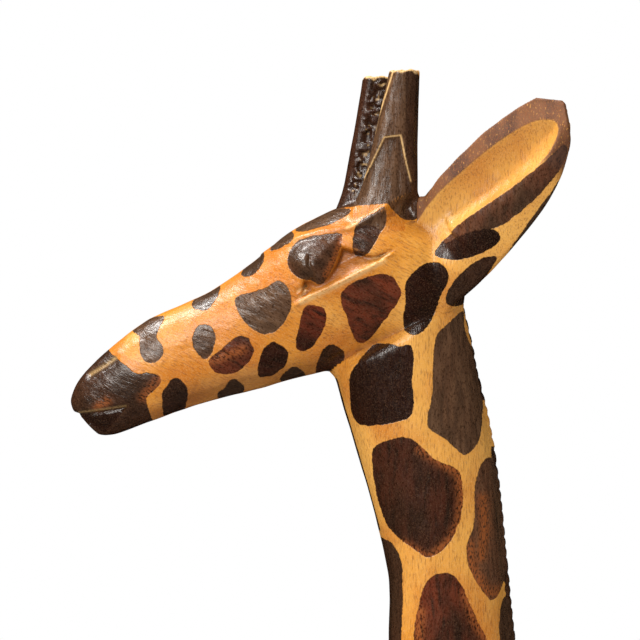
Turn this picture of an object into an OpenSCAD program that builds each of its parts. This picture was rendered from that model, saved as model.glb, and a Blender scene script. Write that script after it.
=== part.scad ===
// Standing carved giraffe, jointed from sawn blocks with glued wooden dowels.
// Millimetres. +Z is up, the giraffe faces -X, and its left side is -Y.
// The origin is on the floor, under the middle of the statue.

/* [Body] */
// Half the width of the barrel at its widest
barrel_half_w = 55; // [50:1:60]
// Sideways distance from the middle to the centre of each hoof
stance_half_w = 44; // [40:1:50]
// Height of the saw cut where the legs join the torso
leg_seat_z = 430; // [425:1:435]
// Half the fore-and-aft length of a hoof at the floor
hoof_half_l = 22; // [19:1:25]

/* [Neck and head] */
// Half the width of the neck in its slim middle part
neck_half_w = 27; // [25:0.5:29]
// Half the width of the head across the brows
brow_half_w = 31; // [29:0.5:33]
// Sideways distance from the middle to each horn
horn_half_gap = 17; // [15:0.5:19]
// Half the thickness of a horn at its tip
horn_tip_half_t = 7; // [6:0.5:8]
// Half the width of an ear across the rim
ear_half_w = 24; // [22:0.5:25]
// Depth of the hollow cut into the front of each ear
ear_hollow = 8; // [5:0.5:9]
// How far the lower flank of each ear falls away behind its lip
ear_flank = 9; // [6:0.5:10]

/* [Dowels] */
// Radius of the dowel between neck and torso
neck_dowel_r = 12; // [10:1:14]
// Radius of the dowel between head and neck
head_dowel_r = 8; // [6:1:10]
// Radius of the dowel in each leg
leg_dowel_r = 8; // [6:1:9]
// Radius of the peg in each horn
horn_peg_r = 4; // [3:0.5:4.5]
// Radius of the peg in each ear and in the tail
small_peg_r = 3; // [2.5:0.5:3.5]
// Glue gap around every dowel
glue_gap = 0.1; // [0.05:0.05:0.2]

/* [Finish] */
// Points around each carved section
around = 28; // [24:2:32]
// Sections between two stations
between = 2; // [2:1:3]

/* [Hidden] */
LEFT = -1;
RIGHT = 1;
honey = "#c98a3c";
umber = "#3a2418";
beech = "#d9b98c";
$fn = 48;
far = 400; // longer than any cut needs

// A station is [x, y, z, tilt, half length, half width, top flare, squareness].
// A tilt of 0 stands the section upright across X, and 90 lays it flat.
// Lofts run upwards, or towards -X where they lie along the body.
function span(under, top, half_w, flare = 0, squareness = 2.2) = [
    (under[0] + top[0]) / 2,
    0,
    (under[1] + top[1]) / 2,
    atan2(top[0] - under[0], top[1] - under[1]),
    norm(top - under) / 2,
    half_w,
    flare,
    squareness
];

// The seats are the sections where one block is glued to the next.
neck_seat = span([-68, 640], [44, 684], 39);
head_seat = span([-93, 1048.5], [-28, 1083.5], 29);

torso_stations = [
    span([200, 532], [200, 544], 6, 0, 2),
    span([197, 515], [196, 560], 20, 0, 2),
    span([190, 500], [187, 576], 36, 0, 2),
    span([174, 486], [169, 590], 47),
    span([146, 474], [141, 602], barrel_half_w - 2, -0.05),
    span([113, 464], [113, 612], barrel_half_w, -0.08),
    span([80, 456], [90, 621], barrel_half_w, -0.12),
    span([46, 451], [73, 631], barrel_half_w, -0.16),
    span([10, 455], [61, 642], barrel_half_w - 2, -0.18),
    span([-24, 470], [53, 652], 51, -0.15),
    span([-48, 498], [48, 661], 47, -0.1),
    span([-62, 543], [46, 669], 43.5, -0.05),
    span([-67, 594], [45, 677], 41),
    neck_seat
];

mane_height = 4; // how far the mane stands above the neck
neck_stations = [
    neck_seat,
    span([-67, 688], [35 - mane_height / 2, 720], 35.5),
    span([-66, 742], [24 - mane_height, 764], neck_half_w + 5),
    span([-65.5, 800], [13 - mane_height, 814], neck_half_w + 2.5),
    span([-65.5, 860], [4 - mane_height, 866], neck_half_w + 0.5),
    span([-65.5, 920], [-2.5 - mane_height, 920], neck_half_w),
    span([-65.5, 946], [-4 - mane_height, 950], neck_half_w),
    span([-72.5, 978], [-8 - mane_height, 989], neck_half_w + 1),
    span([-82.5, 1012], [-13.5 - mane_height, 1031], neck_half_w + 1.5),
    head_seat
];

mane_stations = [
    span([20, 708], [33, 716], 5),
    span([8, 756], [23, 762], 7.5, 0, 2.8),
    span([-4, 806], [13, 812], 7.5, 0, 2.8),
    span([-14, 862], [4, 866], 7.5, 0, 2.8),
    span([-20, 920], [-2.5, 922], 7.5, 0, 2.8),
    span([-24, 970], [-7.5, 975], 7.5, 0, 2.8),
    span([-30, 1006], [-12, 1012], 7.5, 0, 2.8),
    span([-38, 1036], [-19, 1044], 7.5, 0, 2.8),
    span([-42, 1052], [-26, 1061], 6.5, 0, 2.8)
];

head_stations = [
    [-27, 0, 1096, 0, 8, 7, 0, 2],
    [-31, 0, 1096, -5, 21, 18, 0, 2],
    [-42, 0, 1097, -9, 32, 26, 0, 2.2],
    [-56, 0, 1098, -14, 37, 30, 0, 2.3],
    [-72, 0, 1097, -19, 38, brow_half_w, 0.04, 2.4],
    [-86, 0, 1093, -23, 36.5, brow_half_w, 0.08, 2.4],
    [-99, 0, 1087, -25, 35.5, brow_half_w, 0.1, 2.4],
    [-110, 0, 1080, -26, 34, 28, 0.08, 2.4],
    [-126, 0, 1072, -26, 30, 24, 0, 2.4],
    [-141.5, 0, 1065, -26, 27.5, 21.5, -0.08, 2.4],
    [-159, 0, 1058.5, -26, 25.5, 20, -0.1, 2.4],
    [-174.5, 0, 1053, -26, 24.5, 19, -0.1, 2.4],
    [-194.5, 0, 1042.5, -26, 21, 17.5, -0.1, 2.4],
    [-209.5, 0, 1033, -25, 17.5, 14.5, -0.05, 2.4],
    [-217, 0, 1029, -25, 13, 11, 0, 2.3],
    [-222, 0, 1028, -25, 6.5, 6, 0, 2.2]
];

// The horns were cut by eye: the right one stands further forward than the left, most at the tips.
horn_stagger = 12.5;
horn_spread = 5; // how much less the stagger is at the seats
horn_h = 80; // above the seat of the horn
horn_seat_z = 1118;
// [share of the height, front x, back x, half thickness over the tip's]
horn_outline = [
    [0, -90, -51, 1.5],
    [0.2, -82, -51.5, 1.35],
    [0.32, -78.5, -51.5, 1.25],
    [0.52, -74.5, -51.5, 1.1],
    [0.75, -70, -51, 1.05],
    [1, -65.5, -50.5, 1]
];
function horn_forward(side, share) =
    side == RIGHT ? horn_stagger - horn_spread * (1 - share) : 0;
function horn_stations(side) = [
    for (s = horn_outline) [
        (s[1] + s[2]) / 2 - horn_forward(side, s[0]),
        side * horn_half_gap,
        horn_seat_z + s[0] * horn_h,
        90,
        (s[2] - s[1]) / 2,
        horn_tip_half_t * s[3],
        0,
        3
    ]
];

leg_top_z = 520;
function front_leg_stations(side) = [
    [-24, side * stance_half_w, 0, 90, hoof_half_l, 17.5, 0, 2.4],
    [-22, side * stance_half_w, 20, 90, 18.5, 15.5, 0, 2.4],
    [-19.5, side * (stance_half_w - 1), 36, 90, 15, 14, 0, 2.2],
    [-19, side * (stance_half_w - 1), 52, 90, 14.5, 13.5, 0, 2.2],
    [-17, side * (stance_half_w - 2), 80, 90, 12.5, 12, 0, 2.2],
    [-17, side * (stance_half_w - 5), 150, 90, 13, 12, 0, 2.2],
    [-18, side * (stance_half_w - 7), 212, 90, 15, 13.5, 0, 2.2],
    [-20, side * (stance_half_w - 8), 240, 90, 18, 15.5, 0, 2.2],
    [-18, side * (stance_half_w - 9), 272, 90, 16, 14.5, 0, 2.2],
    [-15, side * (stance_half_w - 11), 330, 90, 18, 15.5, 0, 2.2],
    [-12, side * (stance_half_w - 13), 385, 90, 22.5, 18, 0, 2.2],
    [-8, side * (stance_half_w - 15), leg_seat_z, 90, 28, 20.5, 0, 2.2],
    [-2, side * (stance_half_w - 17), 475, 90, 34, 22, 0, 2.2],
    [8, side * (stance_half_w - 20), leg_top_z, 90, 30, 20, 0, 2.2]
];
function rear_leg_stations(side) = [
    [164, side * stance_half_w, 0, 90, hoof_half_l, 17.5, 0, 2.4],
    [166, side * stance_half_w, 20, 90, 18.5, 15.5, 0, 2.4],
    [169, side * (stance_half_w - 1), 36, 90, 15, 14, 0, 2.2],
    [170, side * (stance_half_w - 1), 52, 90, 14.5, 13.5, 0, 2.2],
    [172, side * (stance_half_w - 2), 80, 90, 12.5, 12, 0, 2.2],
    [175, side * (stance_half_w - 5), 160, 90, 12.5, 12, 0, 2.2],
    [179, side * (stance_half_w - 7), 228, 90, 15, 13, 0, 2.2],
    [179, side * (stance_half_w - 8), 256, 90, 18, 14.5, 0, 2.2],
    [172, side * (stance_half_w - 9), 290, 90, 16.5, 14, 0, 2.2],
    [165, side * (stance_half_w - 10), 335, 90, 19.5, 15.5, 0, 2.2],
    [162, side * (stance_half_w - 12), 385, 90, 26, 18.5, 0, 2.2],
    [160, side * (stance_half_w - 14), leg_seat_z, 90, 32, 21.5, 0, 2.2],
    [156, side * (stance_half_w - 16), 480, 90, 34, 23, 0, 2.2],
    [150, side * (stance_half_w - 20), leg_top_z, 90, 30, 20, 0, 2.2]
];

tail_root_z = 562;
tail_stations = [
    [213, 0, 290, 90, 4, 4, 0, 2],
    [213, 0, 315, 90, 8, 7.5, 0, 2],
    [214, 0, 350, 90, 10, 9.5, 0, 2],
    [214, 0, 378, 90, 8.5, 8, 0, 2],
    [214, 0, 400, 90, 5.5, 5.5, 0, 2],
    [214, 0, 470, 90, 5, 5, 0, 2],
    [213, 0, 525, 82, 5.5, 5.5, 0, 2],
    [210, 0, 545, 60, 6, 6, 0, 2],
    [204, 0, 556, 35, 6.5, 6.5, 0, 2],
    [197, 0, 561, 10, 7, 7, 0, 2],
    [185, 0, tail_root_z, 0, 7.5, 7.5, 0, 2]
];

// An ear's own axes: out along it, across it to the lower rim, and out of its hollow.
function unit(v) = v / norm(v);
ear_root = [-43.5, 27, 1108];
ear_tip = [16, 57, 1175.5];
ear_out = unit(ear_tip - ear_root);
ear_face_hint = [-0.45, 0.86, 0.1];
ear_face = unit(ear_face_hint - (ear_face_hint * ear_out) * ear_out);
ear_across = cross(ear_face, ear_out);
ear_length = norm(ear_tip - ear_root);
// [share of the length, half width, thickness behind the rim, depth of the hollow]
ear_stations = [
    [-0.22, 0.9, 20, 0],
    [0, 1, 22, 0.15],
    [0.15, 1.03, 21, 0.6],
    [0.3, 1.02, 20, 0.95],
    [0.45, 1, 18, 1],
    [0.6, 0.94, 15, 1],
    [0.74, 0.81, 12, 0.85],
    [0.84, 0.66, 9, 0.5],
    [0.91, 0.5, 7, 0.1],
    [1, 0.12, 4, 0]
];
// Across the ear, as shares of its half width: the hollow starts behind a flat upper rim and ends
// at a sharp lip, and the flank falls away from the lip to the ear's lower edge.
ear_rim = -2 / 3;
ear_lip = 1 / 6;
hollow_middle = (ear_rim + ear_lip) / 2;
hollow_half = (ear_lip - ear_rim) / 2;
function flank_fall(w) = ear_flank * pow(max(0, (w - ear_lip) / (1 - ear_lip)), 2);

// --- Lofts ---

function section(s, n) = [
    for (i = [0:n - 1])
        let (
            c = cos(360 * i / n),
            u = sin(360 * i / n),
            power = 2 / s[7],
            wide = sign(c) * pow(abs(c), power),
            long = sign(u) * pow(abs(u), power),
            reach = s[4] * long
        )
        [
            s[0] + reach * sin(s[3]),
            s[1] + s[5] * wide * (1 + s[6] * long),
            s[2] + reach * cos(s[3])
        ]
];

// Catmull-Rom between stations, so that the sections flow.
function row(rows, i) = rows[max(0, min(len(rows) - 1, i))];
function blend(rows, i, t) =
    let (a = row(rows, i - 1), b = row(rows, i), c = row(rows, i + 1), d = row(rows, i + 2))
    0.5 * (2 * b + (c - a) * t + (2 * a - 5 * b + 4 * c - d) * t * t + (3 * b - a - 3 * c + d) * t * t * t);
function flowing(rows) = concat(
    [for (i = [0:len(rows) - 2]) for (j = [0:between - 1]) blend(rows, i, j / between)],
    [rows[len(rows) - 1]]
);

module skin(rings) {
    n = len(rings[0]);
    last = len(rings) - 1;
    polyhedron(
        points = [for (r = rings) for (p = r) p],
        faces = concat(
            [for (k = [0:last - 1]) for (i = [0:n - 1])
                let (j = (i + 1) % n) [k * n + i, k * n + j, (k + 1) * n + j]],
            [for (k = [0:last - 1]) for (i = [0:n - 1])
                let (j = (i + 1) % n) [k * n + i, (k + 1) * n + j, (k + 1) * n + i]],
            [[for (i = [0:n - 1]) n - 1 - i]],
            [[for (i = [0:n - 1]) last * n + i]]
        )
    );
}

leg_around = 20;
horn_around = 16;
tail_around = 14;
mane_around = 12;
ear_around = 12; // on each of its two faces
module loft(stations, n = around) skin([for (s = flowing(stations)) section(s, n)]);

// Merges overlapping lofts into one skin. A size of 0 leaves that axis as it is.
module carved() resize([0, 0, 0]) children();

// Everything on the upper side of a seat.
module above(seat) translate([seat[0], seat[1], seat[2]]) rotate([0, seat[3] - 90, 0])
    translate([-far / 2, -far / 2, 0]) cube(far);

module above_legs() translate([-far, -far, leg_seat_z]) cube(2 * far);

// A round bar or bore between two points.
module bar(from, to, r) {
    v = to - from;
    translate(from) rotate([0, acos(v[2] / norm(v)), atan2(v[1], v[0])])
        cylinder(h = norm(v), r = r);
}

// --- Dowels: where each one starts and ends ---

function mirrored(p, side) = [p[0], side * p[1], p[2]];
function square_to(seat, depth) =
    [seat[0] - depth * cos(seat[3]), seat[1], seat[2] + depth * sin(seat[3])];
neck_dowel_ends = [square_to(neck_seat, -60), square_to(neck_seat, 60)];
head_dowel_ends = [square_to(head_seat, -40), square_to(head_seat, 28)];
leg_dowel_half_l = 45;
function leg_dowel_ends(x) = [
    [x, stance_half_w - 15, leg_seat_z - leg_dowel_half_l],
    [x, stance_half_w - 15, leg_seat_z + leg_dowel_half_l]
];
front_dowel_x = -8;
rear_dowel_x = 160;
function horn_peg_ends(side) = [
    [-66 - horn_forward(side, 0), horn_half_gap, horn_seat_z - 22],
    [-61 - horn_forward(side, 0.5), horn_half_gap, horn_seat_z + 42]
];
ear_peg_depth = 11; // behind the rim of the ear
ear_peg_ends = [
    ear_root - 18 * ear_out - ear_peg_depth * ear_face,
    ear_root + 24 * ear_out - ear_peg_depth * ear_face
];
tail_peg_ends = [[172, 0, tail_root_z], [200, 0, tail_root_z - 2]];
end_room = 1; // space for glue beyond each end of a dowel

module dowel(ends, side, r) color(beech)
    bar(mirrored(ends[0], side), mirrored(ends[1], side), r);
module bore(ends, side, r) {
    a = mirrored(ends[0], side);
    b = mirrored(ends[1], side);
    step = end_room * unit(b - a);
    bar(a - step, b + step, r + glue_gap);
}

// --- Carved blocks ---

module torso_block() color(honey) difference() {
    carved() {
        loft(torso_stations);
        for (side = [LEFT, RIGHT])
            for (leg = [front_leg_stations(side), rear_leg_stations(side)])
                intersection() {
                    loft(leg, leg_around);
                    above_legs();
                }
    }
    bore(neck_dowel_ends, RIGHT, neck_dowel_r);
    bore(tail_peg_ends, RIGHT, small_peg_r);
    for (side = [LEFT, RIGHT]) {
        bore(leg_dowel_ends(front_dowel_x), side, leg_dowel_r);
        bore(leg_dowel_ends(rear_dowel_x), side, leg_dowel_r);
    }
}

module neck_block() color(honey) difference() {
    carved() {
        loft(neck_stations);
        loft(mane_stations, mane_around);
    }
    bore(neck_dowel_ends, RIGHT, neck_dowel_r);
    bore(head_dowel_ends, RIGHT, head_dowel_r);
}

eye_centre = [-103, 23, 1098];
eye_r = 9;
eye_stretch = 1.5; // along the head
eye_slant = 26;
module eye(side) translate(mirrored(eye_centre, side)) rotate([0, eye_slant, 0])
    scale([eye_stretch, 1, 1]) sphere(r = eye_r, $fn = 20);

// The lips part in a wedge that closes towards the cheek.
lips = [-222, 0, 1026.5];
lip_gap = 4.4;
mouth_l = 30;
mouth_slant = 12;
module mouth() translate(lips) rotate([90, -mouth_slant, 0])
    linear_extrude(height = far, center = true)
        polygon([[-mouth_l / 2, -lip_gap / 2], [mouth_l, 0], [-mouth_l / 2, lip_gap / 2]]);

module head_block() color(honey) difference() {
    carved() {
        difference() {
            intersection() {
                loft(head_stations);
                above(head_seat);
            }
            mouth();
        }
        for (side = [LEFT, RIGHT]) eye(side);
    }
    bore(head_dowel_ends, RIGHT, head_dowel_r);
    for (side = [LEFT, RIGHT]) {
        bore(horn_peg_ends(side), side, horn_peg_r);
        bore(ear_peg_ends, side, small_peg_r);
    }
}

module horn(side) color(umber) difference() {
    carved() difference() {
        loft(horn_stations(side), horn_around);
        loft(head_stations);
    }
    bore(horn_peg_ends(side), side, horn_peg_r);
}

function ear_section(s, side, n) =
    let (
        centre = ear_root + s[0] * ear_length * ear_out,
        half = ear_half_w * s[1],
        deep = ear_hollow * s[3],
        back = [
            for (i = [0:n])
                let (w = cos(180 * i / n))
                [half * w, -s[2] * sin(180 * i / n) - s[1] * flank_fall(w)]
        ],
        front = [
            for (i = [1:n - 1])
                let (w = -1 + 2 * i / n, inner = min(1, abs(w - hollow_middle) / hollow_half))
                [half * w, -deep * (1 - inner * inner) - s[1] * flank_fall(w)]
        ]
    )
    [for (p = concat(back, front)) mirrored(centre + p[0] * ear_across + p[1] * ear_face, side)];

module ear_loft(side) {
    rings = [for (s = flowing(ear_stations)) ear_section(s, side, ear_around)];
    skin(side == RIGHT ? rings : [for (r = rings) [for (i = [len(r) - 1:-1:0]) r[i]]]);
}

module ear(side) color(honey) difference() {
    carved() difference() {
        ear_loft(side);
        loft(head_stations);
        loft(horn_stations(side), horn_around);
    }
    bore(ear_peg_ends, side, small_peg_r);
}

module leg_block(stations, x, side) color(honey) difference() {
    carved() difference() {
        loft(stations, leg_around);
        above_legs();
    }
    bore(leg_dowel_ends(x), side, leg_dowel_r);
}

module tail_block() color(umber) difference() {
    carved() difference() {
        loft(tail_stations, tail_around);
        loft(torso_stations);
    }
    bore(tail_peg_ends, RIGHT, small_peg_r);
}

torso_block();  // torso
neck_block();  // neck
head_block();  // head
horn(LEFT);  // horn_left
horn(RIGHT);  // horn_right
ear(LEFT);  // ear_left
ear(RIGHT);  // ear_right
leg_block(front_leg_stations(LEFT), front_dowel_x, LEFT);  // leg_front_left
leg_block(front_leg_stations(RIGHT), front_dowel_x, RIGHT);  // leg_front_right
leg_block(rear_leg_stations(LEFT), rear_dowel_x, LEFT);  // leg_rear_left
leg_block(rear_leg_stations(RIGHT), rear_dowel_x, RIGHT);  // leg_rear_right
tail_block();  // tail
dowel(neck_dowel_ends, RIGHT, neck_dowel_r);  // neck_dowel
dowel(head_dowel_ends, RIGHT, head_dowel_r);  // head_dowel
dowel(leg_dowel_ends(front_dowel_x), LEFT, leg_dowel_r);  // leg_dowel_front_left
dowel(leg_dowel_ends(front_dowel_x), RIGHT, leg_dowel_r);  // leg_dowel_front_right
dowel(leg_dowel_ends(rear_dowel_x), LEFT, leg_dowel_r);  // leg_dowel_rear_left
dowel(leg_dowel_ends(rear_dowel_x), RIGHT, leg_dowel_r);  // leg_dowel_rear_right
dowel(horn_peg_ends(LEFT), LEFT, horn_peg_r);  // horn_peg_left
dowel(horn_peg_ends(RIGHT), RIGHT, horn_peg_r);  // horn_peg_right
dowel(ear_peg_ends, LEFT, small_peg_r);  // ear_peg_left
dowel(ear_peg_ends, RIGHT, small_peg_r);  // ear_peg_right
dowel(tail_peg_ends, RIGHT, small_peg_r);  // tail_peg
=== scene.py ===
import math

import bpy
import numpy as np
import openvdb
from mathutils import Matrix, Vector


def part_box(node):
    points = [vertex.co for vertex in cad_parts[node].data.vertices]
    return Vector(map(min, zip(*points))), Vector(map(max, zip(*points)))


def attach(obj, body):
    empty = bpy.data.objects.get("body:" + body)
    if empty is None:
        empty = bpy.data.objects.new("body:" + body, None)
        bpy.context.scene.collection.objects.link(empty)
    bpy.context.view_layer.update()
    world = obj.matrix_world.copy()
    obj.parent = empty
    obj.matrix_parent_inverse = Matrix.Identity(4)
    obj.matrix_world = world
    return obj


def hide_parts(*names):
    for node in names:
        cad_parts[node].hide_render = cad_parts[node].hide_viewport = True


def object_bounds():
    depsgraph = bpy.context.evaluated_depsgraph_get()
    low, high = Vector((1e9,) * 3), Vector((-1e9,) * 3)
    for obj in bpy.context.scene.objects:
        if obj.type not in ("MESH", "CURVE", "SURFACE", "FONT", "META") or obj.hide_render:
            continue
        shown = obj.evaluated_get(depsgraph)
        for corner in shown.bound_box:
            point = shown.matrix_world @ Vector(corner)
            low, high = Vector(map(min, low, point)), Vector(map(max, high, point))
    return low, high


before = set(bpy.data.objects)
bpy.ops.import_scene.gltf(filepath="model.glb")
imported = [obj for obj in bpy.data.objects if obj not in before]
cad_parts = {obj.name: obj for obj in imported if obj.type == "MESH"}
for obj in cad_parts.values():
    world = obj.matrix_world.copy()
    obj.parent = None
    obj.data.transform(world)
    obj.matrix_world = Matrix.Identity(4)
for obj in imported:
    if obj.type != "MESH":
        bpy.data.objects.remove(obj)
cad_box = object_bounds()

# Lengths in the carving and painting code are millimetres; Blender's own are metres.
MM = 0.001
COARSER = 1.0
LEFT = -1
RIGHT = 1

LEGS = ["leg_front_left", "leg_front_right", "leg_rear_left", "leg_rear_right"]
HORNS = {"horn_left": LEFT, "horn_right": RIGHT}
EARS = {"ear_left": LEFT, "ear_right": RIGHT}


def node_box(name):
    """A CAD node's lowest and highest corner, in millimetres."""
    low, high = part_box(name)
    return np.array(low) / MM, np.array(high) / MM


# Head and neck are planned on a side view: u runs back from the tip of the muzzle, v up from the chin.
HEAD_LOW = node_box("head")[0]
MUZZLE_X = HEAD_LOW[0]
CHIN_Z = HEAD_LOW[2]
HORN_TOP = node_box("horn_left")[1][2]


# --- Numbers on points ---


def smooth(t):
    t = np.clip(t, 0.0, 1.0)
    return t * t * (3.0 - 2.0 * t)


def line_glow(distance, width):
    """1 on a line, falling to nothing over its width."""
    return np.exp(-((distance / width) ** 2))


def blended(a, b, width):
    """The larger of two fields, with the corner between them rounded over that width."""
    share = np.clip(0.5 + 0.5 * (a - b) / width, 0.0, 1.0)
    return b + (a - b) * share + width * share * (1.0 - share)


def lattice(x, y, z, seed):
    """Smooth noise from -1 to 1 with features about one unit across."""
    size = 32
    table = np.random.default_rng(seed).uniform(-1.0, 1.0, (size, size, size)).astype(np.float32)
    cell = []
    part = []
    for axis in np.broadcast_arrays(x, y, z):
        whole = np.floor(axis).astype(np.int32)
        cell.append(whole)
        part.append(smooth(axis - whole))
    total = 0.0
    for i, j, k in np.ndindex(2, 2, 2):
        corner = table[(cell[0] + i) % size, (cell[1] + j) % size, (cell[2] + k) % size]
        wi = part[0] if i else 1.0 - part[0]
        wj = part[1] if j else 1.0 - part[1]
        wk = part[2] if k else 1.0 - part[2]
        total = total + corner * wi * wj * wk
    return total


def rounded(outline, passes=2):
    """Cuts the corners of a closed outline, so that a few points make a round shape."""
    p = np.array(outline, float)
    for _ in range(passes):
        q = np.roll(p, -1, axis=0)
        p = np.stack([0.75 * p + 0.25 * q, 0.25 * p + 0.75 * q], axis=1).reshape(-1, 2)
    return p


def to_line(u, v, points, closed=False):
    """Distance from each (u, v) to a line through the points."""
    p = np.array(points, float)
    ends = np.roll(p, -1, axis=0) if closed else p[1:]
    starts = p if closed else p[:-1]
    best = np.full(np.broadcast(u, v).shape, 1e6)
    for a, b in zip(starts, ends):
        d = b - a
        t = np.clip(((u - a[0]) * d[0] + (v - a[1]) * d[1]) / (d @ d), 0.0, 1.0)
        best = np.minimum(best, np.hypot(u - a[0] - t * d[0], v - a[1] - t * d[1]))
    return best


def inside(u, v, outline):
    """Distance to an outline, positive inside it."""
    p = np.array(outline, float)
    q = np.roll(p, -1, axis=0)
    within = np.zeros(np.broadcast(u, v).shape, bool)
    for a, b in zip(p, q):
        if a[1] != b[1]:
            crossing = (a[1] > v) != (b[1] > v)
            within ^= crossing & (u < (b[0] - a[0]) * (v - a[1]) / (b[1] - a[1]) + a[0])
    distance = to_line(u, v, p, closed=True)
    return np.where(within, distance, -distance)


# --- Carving: fields of distance ---

WIDE_BAND = 14.0  # how far from a carved piece's surface its distances are kept
PEG_BAND = 4.0  # the same for a peg or dowel
PEG_SKIN = 1.6  # wood that stays over a peg or dowel
BORE_GAP = 0.15  # play between a peg and its bore


class Field:
    """A grid of distances around one piece, negative inside the wood."""

    def __init__(self, name, voxel, margin=7.0):
        low, high = node_box(name)
        self.voxel = voxel
        self.first = np.floor((low - margin) / voxel).astype(int)
        self.shape = tuple(np.ceil((high + margin) / voxel).astype(int) - self.first + 1)
        axes = [(self.first[a] + np.arange(self.shape[a])) * voxel for a in range(3)]
        self.x, self.y, self.z = np.meshgrid(*axes, indexing="ij", sparse=True)

    def distance(self, points, faces, band):
        """Distance to a closed mesh of triangles or quads."""
        kind = "triangles" if faces.shape[1] == 3 else "quads"
        grid = openvdb.FloatGrid.createLevelSetFromPolygons(
            points,
            transform=openvdb.createLinearTransform(voxelSize=self.voxel),
            halfWidth=band / self.voxel,
            **{kind: faces.astype(np.uint32)},
        )
        out = np.empty(self.shape, np.float32)
        grid.copyToArray(out, ijk=tuple(int(i) for i in self.first))
        return out

    def solid(self, name, band=WIDE_BAND):
        """Distance to a CAD node."""
        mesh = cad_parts[name].data
        mesh.calc_loop_triangles()
        points = np.empty(len(mesh.vertices) * 3, np.float32)
        mesh.vertices.foreach_get("co", points)
        triangles = np.empty(len(mesh.loop_triangles) * 3, np.int32)
        mesh.loop_triangles.foreach_get("vertices", triangles)
        return self.distance(points.reshape(-1, 3) / MM, triangles.reshape(-1, 3), band)

    def quads(self, s, level=0.0):
        """The surface where the field has that level, as points and quads."""
        limit = abs(level) + 3.0 * self.voxel
        grid = openvdb.FloatGrid(limit)
        grid.copyFromArray(
            np.ascontiguousarray(np.clip(s, -limit, limit), np.float32),
            ijk=tuple(int(i) for i in self.first),
        )
        grid.transform = openvdb.createLinearTransform(voxelSize=self.voxel)
        return grid.convertToQuads(level)

    def cover(self, s, pegs):
        """Keeps a skin of wood over the pegs."""
        for peg in pegs:
            distance = self.solid(peg, band=PEG_BAND) - PEG_SKIN
            s = np.where(distance < 0.0, np.minimum(s, distance), s)
        return s

    def joined(self, solids, pegs, radius):
        """Glued pieces as one solid, with its inner corners filled to that radius."""
        s = self.cover(np.minimum.reduce(solids), pegs)
        # The grid's outer walls must lie outside, so a neighbour that runs past them is closed off.
        for axis in range(3):
            edge = np.moveaxis(s, axis, 0)
            edge[0] = radius + self.voxel
            edge[-1] = radius + self.voxel
        points, quads = self.quads(s, radius)
        return self.distance(points, quads, band=radius + 6.0) + radius

    def soften(self, s, radius):
        """Blurs away facets smaller than the radius."""
        for _ in range(max(1, round(2.0 * (radius / self.voxel) ** 2))):
            for axis in range(3):
                s = np.moveaxis(s, axis, 0)
                mid = s.copy()
                mid[1:-1] = 0.5 * s[1:-1] + 0.25 * (s[:-2] + s[2:])
                s = np.moveaxis(mid, 0, axis)
        return s

    def roughen(self, s, amount, scale, seed, stretch=(1.0, 1.0, 1.0)):
        """Raises and lowers the surface by noise of that scale."""
        near = np.nonzero(np.abs(s) < 4.0 * self.voxel)
        x = self.x[near[0], 0, 0] / scale / stretch[0]
        y = self.y[0, near[1], 0] / scale / stretch[1]
        z = self.z[0, 0, near[2]] / scale / stretch[2]
        out = s.copy()
        out[near] += amount * lattice(x, y, z, seed)
        return out

    def sample(self, values, points):
        """The grid's values at points, between the grid's own."""
        place = points / self.voxel - self.first
        cell = np.clip(np.floor(place).astype(int), 0, np.array(self.shape) - 2)
        part = np.clip(place - cell, 0.0, 1.0)
        total = 0.0
        for i, j, k in np.ndindex(2, 2, 2):
            weight = np.prod(np.where([i, j, k], part, 1.0 - part), axis=1)
            total = total + weight * values[cell[:, 0] + i, cell[:, 1] + j, cell[:, 2] + k]
        return total


def surface(name, points, quads):
    """A smooth-shaded object from points in millimetres."""
    mesh = bpy.data.meshes.new(name)
    mesh.vertices.add(len(points))
    mesh.vertices.foreach_set("co", (points * MM).astype(np.float32).ravel())
    mesh.loops.add(len(quads) * 4)
    mesh.loops.foreach_set("vertex_index", quads[:, ::-1].astype(np.int32).ravel())
    mesh.polygons.add(len(quads))
    mesh.polygons.foreach_set("loop_start", np.arange(0, len(quads) * 4, 4, dtype=np.int32))
    mesh.polygons.foreach_set("use_smooth", np.ones(len(quads), bool))
    mesh.update(calc_edges=True)
    mesh.validate()
    piece = bpy.data.objects.new(name, mesh)
    bpy.context.scene.collection.objects.link(piece)
    return piece


def own_part(own, total, others, overlap):
    """Cuts one piece out of the carved whole, halfway between its own wood and its neighbours'."""
    for other in others:
        total = np.maximum(total, 0.5 * (own - other) - overlap)
    return total


def drill(s, field, pegs):
    """Opens the bores that the pegs sit in."""
    for peg in pegs:
        s = np.maximum(s, BORE_GAP - field.solid(peg, band=PEG_BAND))
    return s


# --- Relief on the side of the head and the horns ---

# Lines and outlines here are points (u, v) on the side view.
EYELID = [(113, 65), (120, 69.5), (130, 74), (141, 79.5), (152, 85), (160, 90)]
EYE_HOLLOW = [(115, 67), (130, 74.5), (141, 80), (152, 85.5), (160, 90), (157, 91), (150, 89.5)]
EYE_HOLLOW += [(141, 92.5), (135, 94), (134, 98), (126, 97), (120, 88), (116, 76)]
EYEBALL = [(108, 86), (110, 92), (114, 97), (121, 99.5), (129, 100), (136, 101), (136, 97)]
EYEBALL += [(134, 90), (131, 83), (128, 77), (124.5, 74.5), (121, 77.5), (118, 77.5), (113, 79)]
BROW = [(96, 91), (108, 96), (116, 99.5), (126, 101.5), (140, 103.5), (148, 107), (157, 113)]
MOUTH_LINE = [(0, 10.8), (6, 11.4), (18, 13), (29, 15)]
NOSTRIL = [(11, 30.5), (16, 33.5), (20, 36), (24, 39)]
LIP_FACET = [(4, 10.5), (17, 12.5), (29, 14.5), (24, 8), (18, 2)]
TEAR = [(121.5, 77.5), (121.5, 81), (119.5, 85), (120, 89)]
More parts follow.
